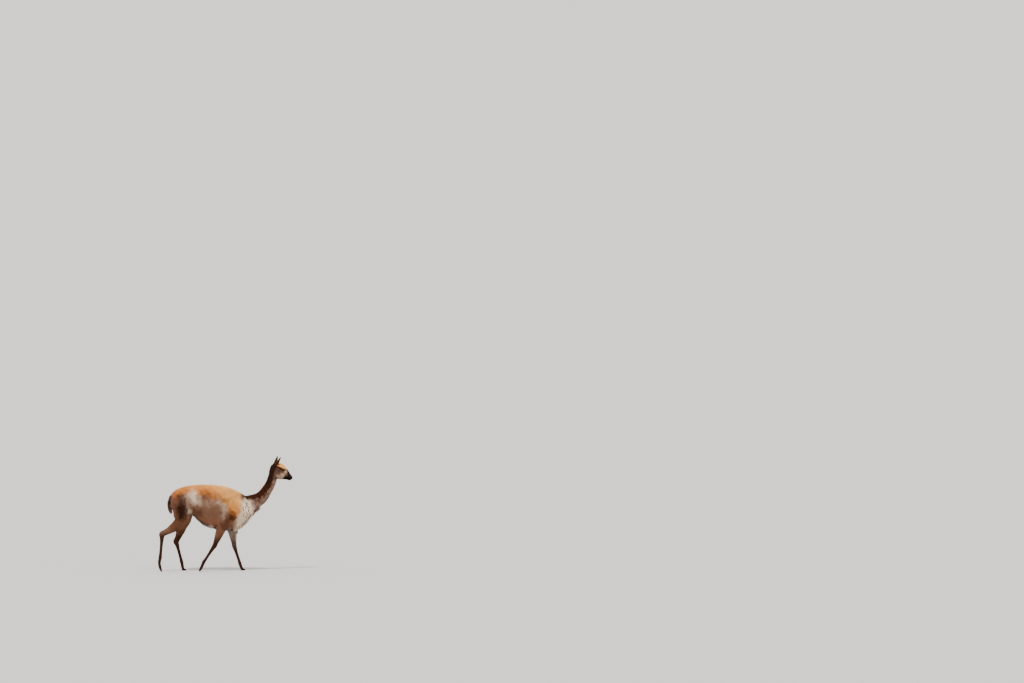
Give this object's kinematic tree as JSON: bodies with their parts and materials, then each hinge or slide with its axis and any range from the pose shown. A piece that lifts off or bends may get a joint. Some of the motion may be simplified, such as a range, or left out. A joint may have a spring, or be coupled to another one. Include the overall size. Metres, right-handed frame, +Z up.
{
  "type": "vicuna",
  "caption": "Life-size still model of a vicuna in mid-walk, head raised, with a long pale bib of hair on the chest.",
  "frame": {"origin": "on the floor, under the middle of the whole animal's box", "axes": "+X from tail to nose, +Y to the animal's left, +Z up"},
  "size_m": [1.3968, 0.3258, 1.191],
  "materials": {
    "fleece": "dense fine fleece, tan on the back and grey-brown on the flank",
    "dark_coat": "short dark brown hair",
    "eye": "wet, very dark brown",
    "nail": "smooth dark horn"
  },
  "bodies": {
    "root": {"torso": "fleece", "neck_lower": "dark_coat", "neck_upper": "dark_coat", "head": "dark_coat", "ear_right": "dark_coat", "ear_left": "dark_coat", "eye_right": "eye", "eye_left": "eye", "tail": "dark_coat", "foreleg_right": "dark_coat", "foreleg_right_cannon": "dark_coat", "foreleg_right_foot": "dark_coat", "foreleg_right_nail_1": "nail", "foreleg_right_nail_2": "nail", "foreleg_left": "dark_coat", "foreleg_left_cannon": "dark_coat", "foreleg_left_foot": "dark_coat", "foreleg_left_nail_1": "nail", "foreleg_left_nail_2": "nail", "hindleg_right": "dark_coat", "hindleg_right_cannon": "dark_coat", "hindleg_right_foot": "dark_coat", "hindleg_right_nail_1": "nail", "hindleg_right_nail_2": "nail", "hindleg_left": "dark_coat", "hindleg_left_cannon": "dark_coat", "hindleg_left_foot": "dark_coat", "hindleg_left_nail_1": "nail", "hindleg_left_nail_2": "nail"}
  },
  "joints": []
}
